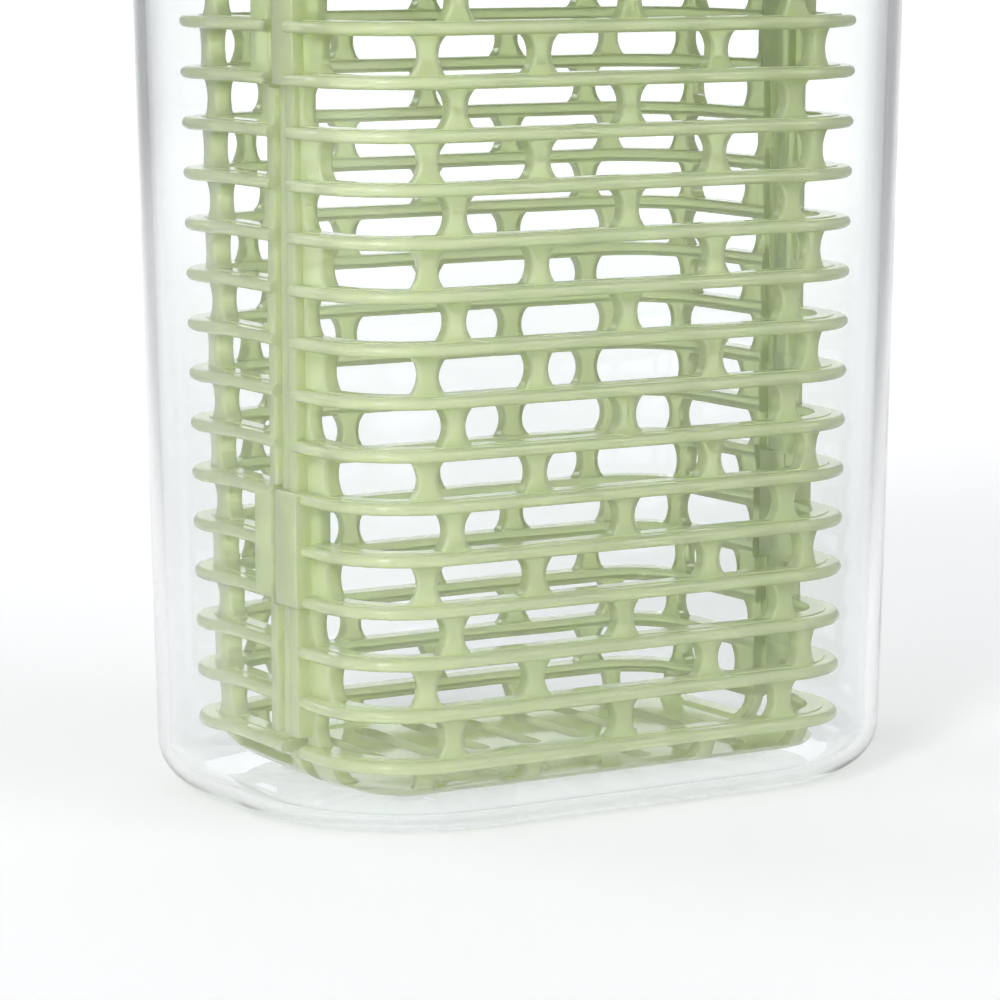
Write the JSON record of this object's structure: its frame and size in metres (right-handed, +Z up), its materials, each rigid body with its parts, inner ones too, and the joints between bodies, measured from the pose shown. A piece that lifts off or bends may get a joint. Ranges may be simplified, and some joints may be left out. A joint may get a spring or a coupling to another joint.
{
  "type": "herb keeper",
  "caption": "Clear rounded container with a slotted two-part hinged lift-out basket and a sealed lid with a sliding vent.",
  "frame": {"origin": "middle of the container's flat underside, on the surface that it stands on", "axes": "+Z up; the wide front face looks towards -Y and the narrow side with the basket's hinge towards -X"},
  "size_m": [0.1648, 0.1162, 0.238],
  "materials": {
    "clear_shell": "gloss, clear moulded plastic",
    "basket_plastic": "satin, translucent pale green moulded plastic",
    "lid_plastic": "satin white moulded plastic",
    "liner_plastic": "matt white moulded plastic",
    "seal": "soft silicone",
    "slider_plastic": "satin green moulded plastic"
  },
  "bodies": {
    "container": {"container": "clear_shell"},
    "basket": {"basket_back": "basket_plastic"},
    "basket_door": {"basket_front": "basket_plastic"},
    "lid": {"lid_cover": "lid_plastic", "lid_liner": "liner_plastic", "lid_gasket": "seal"},
    "vent": {"vent_slider": "slider_plastic"}
  },
  "joints": [
    {"name": "basket_lift", "type": "slide", "parent": "container", "child": "basket", "axis": [0, 0, 1], "range_m": [0, 0.23]},
    {"name": "basket_open", "type": "hinge", "parent": "basket", "child": "basket_door", "pos_m": [-0.0596, -0.009, 0.1], "axis": [0, 0, -1], "range_deg": [0, 2.5]},
    {"name": "lid_lift", "type": "slide", "parent": "basket", "child": "lid", "axis": [0, 0, 1], "range_m": [0, 0.06]},
    {"name": "vent_slide", "type": "slide", "parent": "lid", "child": "vent", "axis": [1, 0, 0], "range_m": [0, 0.006]}
  ]
}
